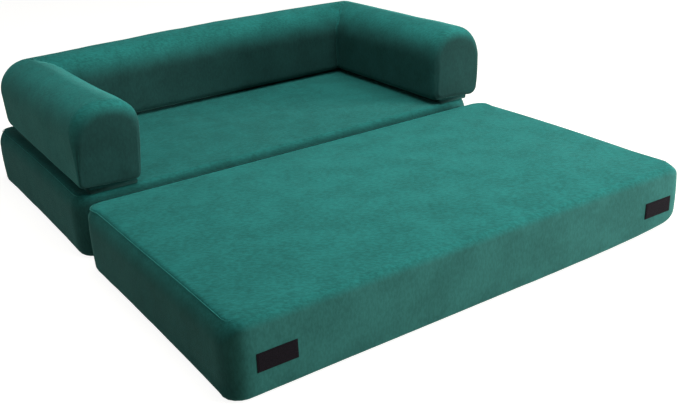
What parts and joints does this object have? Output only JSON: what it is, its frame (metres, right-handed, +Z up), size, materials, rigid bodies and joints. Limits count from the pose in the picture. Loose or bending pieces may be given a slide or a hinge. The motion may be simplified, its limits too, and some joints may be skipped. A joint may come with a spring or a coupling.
{
  "type": "folding sleeper chair",
  "caption": "Folding foam sleeper sofa: hinged floor mattresses under a loose U-shaped bolster with arms and back, in velvet covers.",
  "frame": {"origin": "on the floor under the middle of the rear mattress", "axes": "+X to the right of someone lying with their head at the back, +Y towards the back of the bolster, +Z up"},
  "size_m": [1.843, 2.1353, 0.558],
  "materials": {
    "velvet": "matte",
    "foam": "matte",
    "base_fabric": "matte",
    "zip": "matte",
    "slider": "satin",
    "loop_pad": "matte",
    "strap": "matte"
  },
  "bodies": {
    "rear": {"rear_cover": "velvet", "rear_foam_core": "foam", "rear_base_panel": "base_fabric", "rear_zip_tape": "zip", "rear_zip_slider": "slider", "rear_loop_pad_left": "loop_pad", "rear_loop_pad_right": "loop_pad", "hinge_strip": "velvet"},
    "front": {"front_cover": "velvet", "front_foam_core": "foam", "front_base_panel": "base_fabric", "front_zip_tape": "zip", "front_zip_slider": "slider", "front_loop_pad_left": "loop_pad", "front_loop_pad_right": "loop_pad"},
    "bolster": {"bolster_cover": "velvet", "back_foam_core": "foam", "left_arm_foam_core": "foam", "right_arm_foam_core": "foam", "bolster_base_pad": "velvet", "bolster_zip_tape": "zip", "bolster_zip_slider": "slider", "strap_left": "strap", "strap_right": "strap"}
  },
  "joints": [
    {"name": "fold", "type": "hinge", "parent": "rear", "child": "front", "pos_m": [0, -0.545, 0.2454], "axis": [-1, 0, 0], "range_deg": [0, 180], "deforming": ["hinge_strip"]},
    {"name": "bolster_tip", "type": "hinge", "parent": "rear", "child": "bolster", "pos_m": [0, 0.528, 0.236], "axis": [-1, 0, 0], "range_deg": [0, 90], "deforming": ["strap_left", "strap_right"]}
  ],
  "couplings": [
    {"joint": "bolster_tip", "follows": "fold", "ratio": 0.5}
  ]
}
